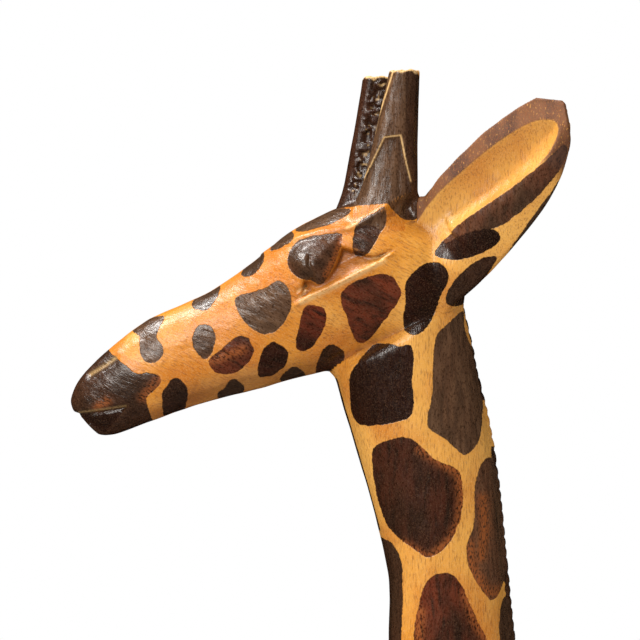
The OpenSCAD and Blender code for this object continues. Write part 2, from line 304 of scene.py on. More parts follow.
NICKS = [
    [(114, 72), (118, 74.5)],
    [(115, 69), (119, 71.5)],
    [(118, 75), (121, 72)],
    [(152, 88.5), (157, 90.5)],
    [(153, 87), (159, 88.5)],
    [(154, 89.5), (160, 91.5)],
]
# Ridges and grooves: the line, how high it stands and how wide it is.
RIDGES = [
    (BROW, 1.3, 1.8),
    (EYELID, 1.2, 1.0),
    (MOUTH_LINE, -2.2, 0.9),
    (NOSTRIL, -1.2, 1.3),
    (TEAR, -1.2, 0.8),
]
RIDGES += [(nick, -1.0, 0.7) for nick in NICKS]

# The jaw's flat underside starts below this edge, and ends at the throat.
JAW_EDGE = [(25, -8), (40, 10), (50, 18), (62, 24), (90, 31.5), (118, 36), (140, 36)]
JAW_HALF_WIDTH = 19.0
JAW_SLOPE = (0.57, 0.82)  # the underside's normal: outwards and down
THROAT = 140.0
# The slanting cut at the front of the lower lip: a point on it and its normal, forwards and down.
LIP_POINT = (4.5, 11.7)
LIP_SLOPE = (0.74, 0.672)
LIP_BACK = 30.0
# The tall facet cut into the left horn, with scraped edges.
HORN_FACET = [(142, 118), (156.5, 147.5), (164.5, 148.5), (168.5, 128.5), (176, 84), (140, 84)]
HORN_SCRAPES = [
    [(142, 119), (150, 134), (156.5, 147.5), (164.5, 148.5), (167, 136), (169.5, 126)],
    [(161, 180.5), (158, 171), (153.5, 157), (152, 150)],
]
# Behind this edge a second facet runs down the left horn.
HORN_BACK = [(116, 171), (128, 169), (148, 166), (182, 168.5)]
# A row of nicks down the inner side of the right horn.
HORN_NICKS = [(155, 178), (150, 157), (147, 142), (142, 124)]
NICK_WIDTH = 2.4
HORN_OUT = 17.0  # how far each horn's middle stands from the statue's


def head_relief(u, v):
    """Height added to the side of the head, in millimetres, seen from the side."""
    lid = to_line(u, v, EYELID)
    hollow = inside(u, v, rounded(EYE_HOLLOW, 1))
    relief = -np.minimum(0.62 * np.clip(lid, 0.0, 9.0), 5.0) * smooth(hollow / 1.5)
    ball = inside(u, v, rounded(EYEBALL))
    dome = np.clip((ball + 1.5) / 11.0, 0.0, 1.0)
    ball_top = -5.0 + 7.0 * np.sqrt(dome * (2.0 - dome))
    relief = blended(relief, np.where(ball > -1.5, ball_top, -9.0), 1.0)
    relief = relief - 1.2 * smooth(inside(u, v, LIP_FACET) / 1.5 + 0.5)
    for line, height, width in RIDGES:
        relief = relief + height * line_glow(to_line(u, v, line), width)
    return relief


def plan(field):
    """Where the grid's points fall on the side view."""
    return field.x - MUZZLE_X, field.z - CHIN_Z


def carve_head(field, s):
    """The relief on both sides, the flat underside of the jaw and the cut lip."""
    u, v = plan(field)
    # The relief fades out at the middle, except across the front of the muzzle.
    sideways = np.maximum(smooth((np.abs(field.y) - 4.0) / 6.0), smooth((24.0 - u) / 8.0))
    relief = head_relief(u[:, 0, :], v[0, 0, :][None, :])
    s = s - relief[:, None, :] * sideways
    # The underside of the jaw is cut flat, and turns into the cheek along a clear edge.
    edge = np.interp(u, *zip(*JAW_EDGE))
    jaw = (np.abs(field.y) - JAW_HALF_WIDTH) * JAW_SLOPE[0] + (edge - v) * JAW_SLOPE[1]
    s = np.where(u < THROAT, np.maximum(s, jaw), s)
    # The lower lip is cut back in one slanting plane below the mouth.
    lip = LIP_SLOPE[0] * (LIP_POINT[0] - u) + LIP_SLOPE[1] * (LIP_POINT[1] - v)
    return np.where((u < LIP_BACK) & (v < LIP_POINT[1]), np.maximum(s, lip), s)


def carve_horn(field, s, side):
    """Facets on the left horn or nicks on the right one, and a chipped top."""
    u, v = plan(field)
    u2 = u[:, 0, :]
    v2 = v[0, 0, :][None, :]
    if side == LEFT:
        carved_side = smooth((-HORN_OUT - field.y) / 3.0)
        facet = inside(u2, v2, HORN_FACET)
        facet = smooth(facet / 0.9) * smooth((v2 - 100.0) / 22.0)
        cut = 1.1 * facet + 0.5 * line_glow(to_line(u2, v2, HORN_SCRAPES[1]), 1.0)
        cut = cut + 0.22 * np.clip(u2 - np.interp(v2, *zip(*HORN_BACK)), 0, 9)
    else:
        carved_side = smooth((HORN_OUT - field.y) / 3.0)
        notch = smooth(0.5 + 1.6 * lattice(u2 / 2.2, 0.0, v2 / 1.5, 31))
        cut = 1.4 * notch * line_glow(to_line(u2, v2, HORN_NICKS), NICK_WIDTH)
    s = s + cut[:, None, :] * carved_side
    # Sawn tops, chipped along their edges.
    chip = 1.0 + 1.1 * lattice(field.x / 2.2, field.y / 2.2, 0.0, 32 + side)
    return np.maximum(s, field.z - HORN_TOP + chip)


# --- Ears ---

EAR_ROOT = np.array([MUZZLE_X + 181.0, 27.0, CHIN_Z + 91.5])
EAR_TIP = EAR_ROOT + (59.5, 30.0, 67.5)
EAR_LENGTH = np.linalg.norm(EAR_TIP - EAR_ROOT)
EAR_OUT = (EAR_TIP - EAR_ROOT) / EAR_LENGTH
FACE_HINT = np.array([-0.45, 0.86, 0.1])
EAR_FACE = FACE_HINT - (FACE_HINT @ EAR_OUT) * EAR_OUT
EAR_FACE = EAR_FACE / np.linalg.norm(EAR_FACE)
EAR_ACROSS = np.cross(EAR_FACE, EAR_OUT)
CUT_OFF = 26.0  # taken from the ear's cut where it has to end
# Half the ear's width at shares of its length.
EAR_SHARES = [0.0, 0.3, 0.45, 0.6, 0.74, 0.84, 0.91, 1.0]
EAR_HALF_WIDTHS = [24.0, 24.5, 24.0, 22.5, 19.5, 15.8, 12.0, 3.0]
# The ear and its hollow, as distances (along, across) on the ear's face.
EAR_OUTLINE = [(0, -24), (28, -24.6), (43, -24.2), (57, -22.8), (70, -20.4), (80, -17.6), (89, -14)]
EAR_OUTLINE += [(97, -3.5), (97, -1), (91, 8), (84, 14), (72, 19), (57, 22), (43, 24), (0, 24)]
HOLLOW = [(-14, -15), (1, -17.5), (15, -20), (38, -17.5), (56, -14.5), (71.5, -10.5), (81.5, -6)]
HOLLOW += [(87.5, 0), (87.5, 4.5), (83, 8), (72, 11), (54, 8.5), (38, 5), (21, 0), (7, -1.5), (-14, -4)]
HOLLOW_EDGE = rounded(HOLLOW, 1)
# The sharp edge between the hollow and the ear's lower flank.
LIP = [(-14, -4), (7, -1.5), (21, 0), (38, 5), (54, 8.5), (72, 11), (83, 8), (88, 3)]


def ear_plan(x, y, z):
    """Distances along an ear, across it towards its lower edge, and out of its face."""
    dx = x - EAR_ROOT[0]
    dy = np.abs(y) - EAR_ROOT[1]
    dz = z - EAR_ROOT[2]
    return [a[0] * dx + a[1] * dy + a[2] * dz for a in (EAR_OUT, EAR_ACROSS, EAR_FACE)]


def ear_half_width(along):
    return np.interp(along / EAR_LENGTH, EAR_SHARES, EAR_HALF_WIDTHS)


def ear_face_height(along, across):
    """How high the ear's face stands: a hollow with a crisp rim, and a flank behind the lip."""
    half = ear_half_width(along)
    lip = np.interp(along, *zip(*LIP))
    d = inside(along, across, HOLLOW_EDGE)
    bowl = 1.0 - (1.0 - np.clip(d / 10.0, 0.0, 1.0)) ** 2
    deep = np.interp(along, [50.0, 86.0], [6.5, 3.0])
    height = -deep * bowl * smooth((along + 4.0) / 24.0)
    fall = np.clip((across - lip) / np.maximum(half - lip, 3.0), 0.0, 1.2)
    return height - 10.0 * fall**2 * smooth((92.0 - along) / 14.0)


def carve_ear(field, s):
    """Fills an ear up to its outline, then cuts its face and hollow."""
    along, across, out = ear_plan(field.x, field.y, field.z)
    near = np.nonzero((np.abs(s) < WIDE_BAND) & (along > -16.0) & (out > -22.0) & (field.y * field.y > 1.0))
    a = along[near]
    w = across[near]
    f = out[near]
    thick = np.interp(a, [50.0, 95.0], [8.5, 3.0])
    slab = np.maximum.reduce([-inside(a, w, EAR_OUTLINE), f, -thick - f, 12.0 - a])
    filled = np.minimum(s[near], slab)
    # Close to the head the cut fades out softly, so that the hollow runs into the cheek.
    cut = (f - ear_face_height(a, w)) * 0.8 - CUT_OFF * (1.0 - smooth((a + 16.0) / 22.0))
    # Beyond the ear's edges the cut ends too, so that it spares the horns.
    cut = cut - CUT_OFF * smooth((np.abs(w) - ear_half_width(a) - 2.0) / 8.0)
    out_field = s.copy()
    out_field[near] = blended(filled, cut, np.interp(a, [0.0, 26.0], [6.0, 0.6]))
    return out_field


# --- Mane ---

MANE_HALF_WIDTH = 7.5
MANE_START = 95.0  # height above the foot of the neck
NOTCH_STEP = 6.0
NOTCH_DEPTH = 0.7


def back_edge(x, z, step=4.0):
    """The furthest back the piece reaches at each height, as a function of height."""
    row = np.round(z / step).astype(int)
    first = row.min()
    edge = np.full(row.max() - first + 1, -1e6)
    np.maximum.at(edge, row - first, x)
    heights = (np.arange(len(edge)) + first) * step
    good = edge > -1e5
    return lambda h: np.interp(h, heights[good], edge[good])


def carve_mane(field, s):
    """Slanting knife cuts across the ridge down the back of the neck."""
    solid = np.nonzero(s < 0.0)
    edge = back_edge(field.x[solid[0], 0, 0], field.z[0, 0, solid[2]])
    depth = edge(field.z) - field.x
    slant = field.z + 0.5 * np.abs(field.y) + 1.5 * lattice(field.y / 6.0, 0.0, field.z / 11.0, 41)
    notch = smooth(1.4 * np.sin(slant * 2.0 * math.pi / NOTCH_STEP) - 0.1)
    on_mane = smooth((MANE_HALF_WIDTH + 0.5 - np.abs(field.y)) / 2.0) * smooth((5.5 - depth) / 3.0)
    low = smooth((field.z - field.z.min() - MANE_START) / 20.0)
    return s + NOTCH_DEPTH * notch * on_mane * low


# --- Pieces ---

PEGS = {
    "head": ["head_dowel", "horn_peg_left", "horn_peg_right", "ear_peg_left", "ear_peg_right"],
    "neck": ["head_dowel", "neck_dowel"],
    "torso": ["neck_dowel", "tail_peg"] + ["leg_dowel" + leg[3:] for leg in LEGS],
    "horn_left": ["horn_peg_left"],
    "horn_right": ["horn_peg_right"],
    "ear_left": ["ear_peg_left"],
    "ear_right": ["ear_peg_right"],
    "tail": ["tail_peg"],
}
TOUCHING = {
    "head": ["neck", "ear_left", "ear_right", "horn_left", "horn_right"],
    "neck": ["head", "torso"],
    "torso": ["neck", "tail"] + LEGS,
    "horn_left": ["head", "ear_left"],
    "horn_right": ["head", "ear_right"],
    "ear_left": ["head", "neck", "horn_left"],
    "ear_right": ["head", "neck", "horn_right"],
    "tail": ["torso"],
}
# Each piece's grid step, and the radius that its facets are blurred over.
FINENESS = {"head": (0.8, 1.2), "neck": (1.25, 2.0), "torso": (1.6, 3.0), "tail": (0.8, 1.0)}
for horn in HORNS:
    FINENESS[horn] = (0.55, 0.8)
for ear in EARS:
    FINENESS[ear] = (0.65, 1.0)
for leg in LEGS:
    PEGS[leg] = ["leg_dowel" + leg[3:]]
    TOUCHING[leg] = ["torso"]
    FINENESS[leg] = (1.2, 2.0)

CORNER = 3.2  # radius of the inner corners between a piece and its neighbours
BOX_MARGIN = 0.15  # how far the carved wood stays inside the box of the CAD
CREASE = 2.2  # how wide the edges and creases are that the wear on edges and the painted shade in creases look for


def carve(name):
    """One piece of the statue, with how sharply its surface turns stored on its points."""
    voxel, blur = FINENESS[name]
    field = Field(name, voxel * COARSER)
    own = field.solid(name)
    others = [field.solid(n) for n in TOUCHING[name]]
    total = field.joined([own] + others, PEGS[name], CORNER)
    total = field.soften(total, blur)
    if name in EARS or name in HORNS or name == "head":
        total = carve_head(field, carve_ear(field, total))
    if name in HORNS:
        total = carve_horn(field, total, HORNS[name])
    if name == "neck":
        total = carve_mane(field, total)
    total = field.cover(total, PEGS[name])
    total = field.roughen(total, 0.3, 13.0, 11, stretch=(1.0, 1.0, 2.2))
    total = field.roughen(total, 0.1, 4.0, 12, stretch=(1.5, 1.0, 2.5))
    for axis, place in enumerate((field.x, field.y, field.z)):
        total = np.maximum(total, cad_box[0][axis] / MM + BOX_MARGIN - place)
        total = np.maximum(total, place - cad_box[1][axis] / MM + BOX_MARGIN)
    turn = field.soften(total, CREASE) - total
    s = own_part(own, total, others, 0.55 * field.voxel)
    s = drill(s, field, PEGS[name])
    points, quads = field.quads(s)
    piece = surface(name + "_carved", points, quads)
    return piece, points, field.sample(turn, points)


# --- Paint: where it lies ---

# Patches on the side view: how red the stain is, how thin it lies, and the outline as points (u, v).
MUZZLE = (0.1, 0.2, [(-5, 50), (18, 45), (22, 41), (28, 36.5), (35, 31), (40, 32.5), (46, 31),
                     (47, 27), (43, 23), (39, 20), (40, 15), (42, 8), (42, -8), (-8, -8)])
SNOUT = [
    (0.1, 0.7, [(30, 53), (36, 58), (48, 61), (48, 58), (45.5, 54), (44, 50), (46, 47), (48.5, 43),
                (47, 39), (43, 36.5), (39, 37), (36, 41), (35.5, 46), (36, 50)]),
    (0.0, 0.5, [(60, 64.5), (66, 62.5), (70, 63), (74, 68), (76.5, 75), (72, 76), (64, 72)]),
    (0.1, 0.6, [(62, 50), (64, 55), (68, 56), (72, 55), (74, 50), (73, 44), (71, 39.5), (68, 38.5),
                (65, 41), (62.5, 45)]),
    (0.8, 0.1, [(70, 39), (75, 42.5), (79, 46), (83, 49.5), (87, 50.5), (90, 49.5), (91, 46.5),
                (93, 44), (91.5, 39), (88, 35), (83, 31.5), (78, 31), (73, 32), (70.5, 35.5)]),
    (0.2, 0.0, [(94, 29.5), (94.5, 36), (96, 42), (99, 46), (102, 48), (106, 46), (109.5, 43),
                (109.5, 38), (107, 34), (102, 30.5), (98, 30)]),
    (0.1, 0.1, [(47, 10), (47, 17), (47, 23), (49.5, 25), (51, 28), (54, 30), (57.5, 28), (60, 24),
                (60, 19), (58, 14), (55, 10), (50, 7)]),
    (0.0, 0.3, [(74, 19), (74, 22), (78, 24.5), (80, 28), (83, 29.5), (85.5, 27.5), (88, 25),
                (87, 21.5), (82, 18.5), (77, 16.5)]),
    (0.1, 0.8, [(82.5, 67.5), (85, 70.5), (92, 72), (99, 73.5), (102, 76.5), (105, 78), (109, 75),
                (111.5, 69), (111, 63), (108, 57), (104, 52.5), (98, 50.5), (92, 53), (87, 58), (84, 63)]),
    (0.0, 0.4, [(85, 79.5), (90, 79), (94, 81.5), (97, 86), (98, 91), (94, 94), (88, 87)]),
    (0.0, 0.7, [(99, 91), (105, 93), (110, 95.5), (113, 99), (110, 104), (104, 102)]),
    (0.0, 0.3, [(104, 28), (108, 33), (113, 36), (118, 31.5), (118, 29), (110, 24)]),
]
FACE = [
    (0.9, 0.0, [(117, 65), (122, 65.5), (127, 64.5), (129, 59), (126, 52), (122, 45), (118, 42.5),
                (113, 43), (113, 48), (115, 56)]),
    (0.2, 0.1, [(122, 32), (125, 42), (128, 45), (131, 46.5), (136, 44), (138, 40), (135, 35),
                (131, 32), (126, 30)]),
    (1.0, 0.1, [(135, 72), (141, 76.5), (149, 79.5), (157, 81), (161, 79), (164, 74), (165, 70),
                (160, 62), (153, 53), (149, 47.5), (144, 46), (141, 50), (138, 60), (135, 66)]),
    (0.4, 0.4, EYEBALL),
    (0.0, 0.8, [(112, 101), (120, 102), (128, 104), (134, 106.5), (142, 112), (136, 114), (128, 112),
                (120, 109), (114, 106)]),
    (0.2, 0.2, [(141, 90), (141, 97), (142, 104), (146, 108), (152, 110.5), (157, 115), (158, 105),
                (153, 98), (150.5, 93), (148, 89.5), (144, 89)]),
    (0.1, 0.0, [(166, 75), (169, 80), (173, 84), (178, 86.5), (184, 86), (188, 82), (188, 77),
                (184, 70), (182, 63), (179, 56), (174, 51), (169, 50.5), (166, 53), (165.5, 60), (167, 68)]),
]
EAR_FLANK = [
    (0.1, 0.0, [(180, 90), (184, 96), (190, 101), (198, 103), (206, 103), (211, 101), (213, 98),
                (210, 94), (205, 91), (198, 88), (190, 87), (184, 88)]),
    (0.1, 0.2, [(186, 66), (187, 72), (191, 78), (196, 83), (201, 87), (206, 89), (212, 89), (208, 82),
                (202, 73), (196, 65), (190, 64.5)]),
    (0.6, 0.5, [(182, 93), (190, 103), (197, 108), (209, 116), (222, 125), (235, 136), (242, 143),
                (244, 138), (240, 130), (231, 118), (221, 109.5), (213, 103), (200, 100), (190, 94)]),
    (0.0, 0.5, [(214, 88), (222, 100), (229, 110), (237, 121), (243, 130), (247, 142), (256, 142),
                (254, 124), (240, 100), (228, 84)]),
]
NECK = [
    (0.1, 0.0, [(139, 31), (144, 38), (148, 43), (152, 46.5), (160, 47), (164, 44.5), (169.5, 47),
                (171, 40), (170, 30), (171, 18), (170, 11), (164, 8), (155, 6.5), (146, 5.5), (141, 9),
                (139.5, 20)]),
    (0.2, 0.8, [(181, 50), (186, 55), (192, 60), (197, 64), (196, 55), (200, 45), (204, 35), (206, 25),
                (206, 15), (205, 5), (203, -3), (200, -6), (196, -9), (191, -5), (186, 0), (181, 3),
                (177, 6), (178, 14), (180, 22), (180, 35)]),
    (0.3, 0.1, [(150, -5), (157, -1), (168, 1.5), (175, -4), (180, -9.5), (185, -12), (192, -14),
                (195, -20), (195, -35), (192, -45), (187, -53), (178, -59.5), (172, -55), (163, -49),
                (157, -42), (153, -30), (151, -18)]),
    (0.5, 0.8, [(202, -16), (200.5, -30), (201, -42), (197, -50), (196, -58), (200, -68), (205, -76),
                (210, -81), (214, -77), (217, -70), (224, -60), (224, -45), (220, -30), (216, -15),
                (208, -8)]),
    (0.1, 0.3, [(140, -50), (155, -50), (160, -51), (165, -58), (166, -70), (165.5, -90),
                (165, -110), (163, -124), (157, -130), (145, -126)]),
    (0.9, 0.1, [(188, -65), (181, -66), (176, -71), (173, -82), (171, -95), (170, -112), (173, -124),
                (182, -130), (196, -127), (204, -118), (208, -106), (207, -98), (202, -89), (198, -80),
                (194, -70)]),
    (0.1, 0.5, [(216, -78), (214, -85), (213, -95), (215, -112), (219, -122), (232, -122), (230, -80)]),
]
# Patches that reach over onto the next piece.
NECK_ON_HEAD = NECK[:2]
FACE_ON_NECK = FACE[-1:]
FLANK_ON_HEAD = EAR_FLANK[:2]
FLANK_ON_NECK = EAR_FLANK[1:2]
HORN_PAINT = (0.15, 0.35, [(127, 112), (142, 114), (157, 114.5), (158.5, 115), (161, 111),
                           (166, 107), (172, 106.5), (177, 113), (180, 190), (120, 190)])

# Where the paint is rusty: lines, their half width and how rusty they are.
RUSTY = [
    ([(72, 38), (79, 40.5), (87, 43.5)], 2.4, 0.9),
    ([(15, 15), (20, 18)], 2.2, 0.8),
    ([(174, -5), (183, -10.5), (193, -17), (194.5, -30), (193, -42), (187, -52)], 2.6, 1.0),
    ([(166, -52), (178, -58.5), (187, -51)], 2.2, 1.0),
    ([(198, -52), (200, -64), (207, -76), (213, -76)], 3.0, 1.0),
    ([(205, -30), (206, -45), (204, -58)], 3.0, 1.0),
    ([(174, -85), (173, -100), (175, -118)], 2.6, 1.0),
    ([(196, -76), (200, -88), (206, -98)], 2.4, 1.0),
    ([(128, 80), (133, 90), (135.5, 97)], 1.6, 1.0),
    ([(38, 20), (46, 29)], 2.6, 0.8),
]
# Pale lines, their half width and how bare they are. The lid ridge and the nicks are scraped down to pale
# wood, the nostril's line is scraped wood with a painted highlight along it, and the lines along the upper
# lip's edge and along the brow are painted highlights.
SCRAPED_AND_HIGHLIT = [
    ([(11, 31), (16, 34), (20, 36.5), (24, 39.5)], 0.9, 0.45),
    ([(5, 12.1), (12, 13.1), (20, 14.2), (29, 15.6)], 0.5, 0.35),
    ([(138, 103), (148, 107.2), (157, 113)], 0.7, 0.9),
    ([(116, 66.5), (124, 70.5), (133, 74.8), (144, 80.4), (156, 86.8)], 1.3, 0.8),
    ([(114, 72), (118, 74.5)], 0.6, 0.7),
    ([(115, 69), (118, 72.5)], 0.6, 0.7),
    ([(151, 88), (158, 90.5)], 0.7, 0.6),
]


def side_plan(p):
    """Where points fall on the side view. The right side's paint drifts a little from the left's."""
    drift = 4.5 * smooth(p[:, 1] / 18.0)
    u = p[:, 0] - MUZZLE_X + drift * lattice(p[:, 0] / 24.0, 0.0, p[:, 2] / 24.0, 21)
    v = p[:, 2] - CHIN_Z + drift * lattice(p[:, 0] / 24.0, 9.0, p[:, 2] / 24.0, 22)
    return u, v


# Numbers on the points that the material reads: the depth inside a stained patch in millimetres, how red
# and how thin its stain is, how bare the wood and how strong the painted highlights and glints, how much
# brown wash and painted shade, how rusty, and how pale the wood.
LAYERS = ["paint", "red", "thin", "bare", "rim", "rust", "straw"]


class Paint:
    """What is painted at each point of a piece."""

    def __init__(self, points):
        self.points = points
        self.u, self.v = side_plan(points)
        count = len(points)
        self.paint = np.full(count, -9.0)
        self.red = np.zeros(count)
        self.thin = np.zeros(count)
        self.bare = np.zeros(count)
        self.rim = np.zeros(count)
        self.rust = np.zeros(count)
        self.straw = np.zeros(count)

    def lay(self, depth, red, thin):
        """Lays stain where the depth, in millimetres inside its outline, beats what is there."""
        wins = depth > self.paint
        self.paint = np.where(wins, depth, self.paint)
        self.red = np.where(wins, red, self.red)
        self.thin = np.where(wins, thin, self.thin)

    def close(self, outline, reach=10.0):
        """Which points are close enough to an outline for it to matter."""
        low = np.min(outline, axis=0) - reach
        high = np.max(outline, axis=0) + reach
        return (self.u > low[0]) & (self.u < high[0]) & (self.v > low[1]) & (self.v < high[1])

    def outlines(self, patches):
        """Lays patches of stain."""
        for red, thin, outline in patches:
            near = self.close(outline)
            depth = np.full(len(self.u), -9.0)
            depth[near] = inside(self.u[near], self.v[near], rounded(outline))
            self.lay(depth, red, thin)

    def lines(self, lines, values):
        """Raises the values along lines."""
        for line, width, strength in lines:
            near = self.close(line)
            glow = strength * line_glow(to_line(self.u[near], self.v[near], line), width)
            values[near] = np.maximum(values[near], glow)


def scatter(points, spacing, seed):
    """Points spread over a surface, no two closer than the spacing there."""
    rng = np.random.default_rng(seed)
    some = points[rng.permutation(len(points))[:7000]]
    kept = np.zeros((0, 3))
    for p in some:
        if len(kept) == 0 or np.min(np.sum((kept - p) ** 2, axis=1)) > spacing(p) ** 2:
            kept = np.vstack([kept, p])
    return kept


ROUNDING = 3.5  # how round the corners of the spread patches are


def cells(points, seeds, gap):
    """Distance inside rounded cells round the seeds, which stand a gap apart."""
    x, y, z = points.T / 16.0
    sway = [lattice(x, y, z, 51 + a) for a in range(3)]
    p = points + 3.5 * np.stack(sway, axis=1)
    out = np.empty(len(p))
    owner = np.empty(len(p), int)
    for start in range(0, len(p), 20000):
        block = slice(start, start + 20000)
        square = np.sum((p[block, None, :] - seeds[None]) ** 2, axis=2)
        first = np.argmin(square, axis=1)
        apart = np.linalg.norm(seeds[first][:, None, :] - seeds[None], axis=2)
        own = np.take_along_axis(square, first[:, None], axis=1)
        to_wall = (square - own) / (2.0 * np.maximum(apart, 1e-3))
        np.put_along_axis(to_wall, first[:, None], 1e3, axis=1)
        out[block] = -ROUNDING * np.log(np.sum(np.exp(-np.minimum(to_wall, 80.0) / ROUNDING), axis=1))
        owner[block] = first
    return out - gap / 2.0, owner


GOLD_STRETCH = (-5.0, 18.0)  # heights between which the mane is left gold
THROAT_FRONT = [(-60, 158), (-20, 147), (32, 133)]  # (v, u) along the neck's front edge
NECK_HANDOVER = CHIN_Z - 116.0  # below this the neck's patches are spread by rule
# How far apart the patches' middles lie and how wide the gold lines are, at heights above the floor.
BODY_HEIGHTS = [90.0, 200.0, 330.0, 450.0, 620.0, 900.0]
PATCH_SPACING = [19.0, 24.0, 33.0, 52.0, 50.0, 40.0]
PATCH_GAP = [4.5, 5.0, 6.5, 8.5, 8.0, 7.5]
EAR_BACK_SPACING = 27.0
EAR_BACK_GAP = 6.5
HOOF_TOP = 34.0
PASTERN_TOP = 82.0  # the legs are plain gold from the hooves up to here


def body_spacing(p):
    return np.interp(p[2], BODY_HEIGHTS, PATCH_SPACING)


def spread_patches(coat, seeds, limit):
    """Patches of stain round the seeds, no deeper than the limit."""
    gap = np.interp(coat.points[:, 2], BODY_HEIGHTS, PATCH_GAP)
    depth, owner = cells(coat.points, seeds, gap)
    rng = np.random.default_rng(61)
    red = rng.uniform(0.0, 1.0, len(seeds)) ** 1.5
    thin = rng.uniform(0.0, 0.8, len(seeds)) ** 1.5
    coat.lay(np.minimum(depth, limit), red[owner], thin[owner])


def paint_head(coat, on_ear):
    """The paint of the head and of what stands on it."""
    x, y, z = coat.points.T
    coat.outlines(SNOUT + FACE + FLANK_ON_HEAD)
    # The two sides' patches stop short of the middle of the snout and the jaw.
    gap = np.abs(y + 1.5 * lattice(x / 9.0, 0.0, z / 9.0, 24)) - 2.6
    coat.paint = np.minimum(coat.paint, np.where(coat.u < 128.0, gap, 9.0))
    coat.outlines([MUZZLE])
    # Painted shade: the facet cut back below the mouth, under the upper lip, takes the darkest stain.
    coat.thin = np.where(inside(coat.u, coat.v, LIP_FACET) > 0, 0.0, coat.thin)
    if not on_ear:
        coat.outlines([HORN_PAINT])
    coat.outlines(NECK_ON_HEAD)
    # The mane starts between the ears.
    strip = np.minimum(MANE_HALF_WIDTH - np.abs(y), x + 48.0)
    coat.lay(strip, 0.1, 0.3)
    # Pale lines: scraped wood, and painted highlights along the brow, the upper lip and the nostril.
    coat.lines(SCRAPED_AND_HIGHLIT, coat.bare)


def ear_rim(points):
    """How much brown wash lies on an ear: much on its upper rim and its tip, a little inside."""
    along, across, out = ear_plan(*points.T)
    on_face = face_share(along, across, out)
    bowl = inside(along, across, HOLLOW_EDGE)
    lip = np.interp(along, *zip(*LIP))
    rim = smooth((0.4 - bowl) / 0.8) * on_face * smooth((along + 1.0) / 4.0)
    rim = np.maximum(rim, 0.15 * on_face)
    return np.where(across > lip, rim * smooth((along - 64.0) / 12.0), rim)


def face_share(along, across, out):
    """1 on the face of an ear, 0 on its back and on the head."""
    height = ear_face_height(along, across)
    return smooth((out - height + 3.5) / 2.0) * smooth((along + 6.0) / 10.0)


def paint_ear(coat, side):
    """Stain on an ear's flank and its back, and the wash on its rim."""
    along, across, out = ear_plan(*coat.points.T)
    on_face = face_share(along, across, out)
    bowl = inside(along, across, HOLLOW_EDGE)
    coat.rim = ear_rim(coat.points)
    shown = coat.points[:, 1] * side > 0
    # Outlines on the flank stop at the hollow's edge.
    flank = Paint(coat.points)
    flank.outlines(EAR_FLANK)
    depth = np.where(on_face > 0.2, np.minimum(flank.paint, -bowl), flank.paint)
    coat.lay(np.where(shown, depth, -9.0), flank.red, flank.thin)
    behind = (on_face < 0.2) & (across < 12.0) & (along > 8.0) & (along < 76.0)
    seeds = scatter(coat.points[behind], lambda p: EAR_BACK_SPACING, 71)
    depth = cells(coat.points, seeds, EAR_BACK_GAP)[0]
    back_limit = np.minimum(-8.0 * on_face + 2.0, -flank.paint - 6.0)
    coat.lay(np.where(behind, np.minimum(depth, back_limit), -9.0), 0.2, 0.4)


def paint_neck(coat, seeds):
    """The neck's own patches, then the spread ones further down, and the mane."""
    coat.outlines(NECK + FACE_ON_NECK + FLANK_ON_NECK)
    x, y, z = coat.points.T
    limit = np.minimum((NECK_HANDOVER - z) * 0.8, -coat.paint - 6.5)
    spread_patches(coat, seeds, limit)
    depth = back_edge(x, z)(z) - x
    gold_stretch = np.minimum(GOLD_STRETCH[1] - coat.v, coat.v - GOLD_STRETCH[0])
    mane = np.minimum(MANE_HALF_WIDTH - 0.5 - np.abs(y), 5.0 - depth)
    mane = np.minimum(mane, -gold_stretch)
    mane = np.minimum(mane, z - z.min() - MANE_START - 5.0)
    coat.lay(mane, 0.2, 0.35)
    # The strip of throat along the front edge is a patch that wraps round it.
    throat = np.minimum(7.0 - np.abs(y), np.minimum(coat.v + 47.0, 29.0 - coat.v))
    front = coat.u - np.interp(coat.v, *zip(*THROAT_FRONT))
    coat.lay(np.minimum(throat, 8.0 - front), 0.0, 0.3)


def paint_leg(coat, seeds):
    """Patches down to the pastern, and a dark hoof."""
    z = coat.points[:, 2]
    wave = 2.0 * lattice(coat.points[:, 0] / 9.0, coat.points[:, 1] / 9.0, 0.0, 62)
    spread_patches(coat, seeds, (z - PASTERN_TOP) * 0.8)
    coat.lay(HOOF_TOP + wave - z, 0.1, 0.2)


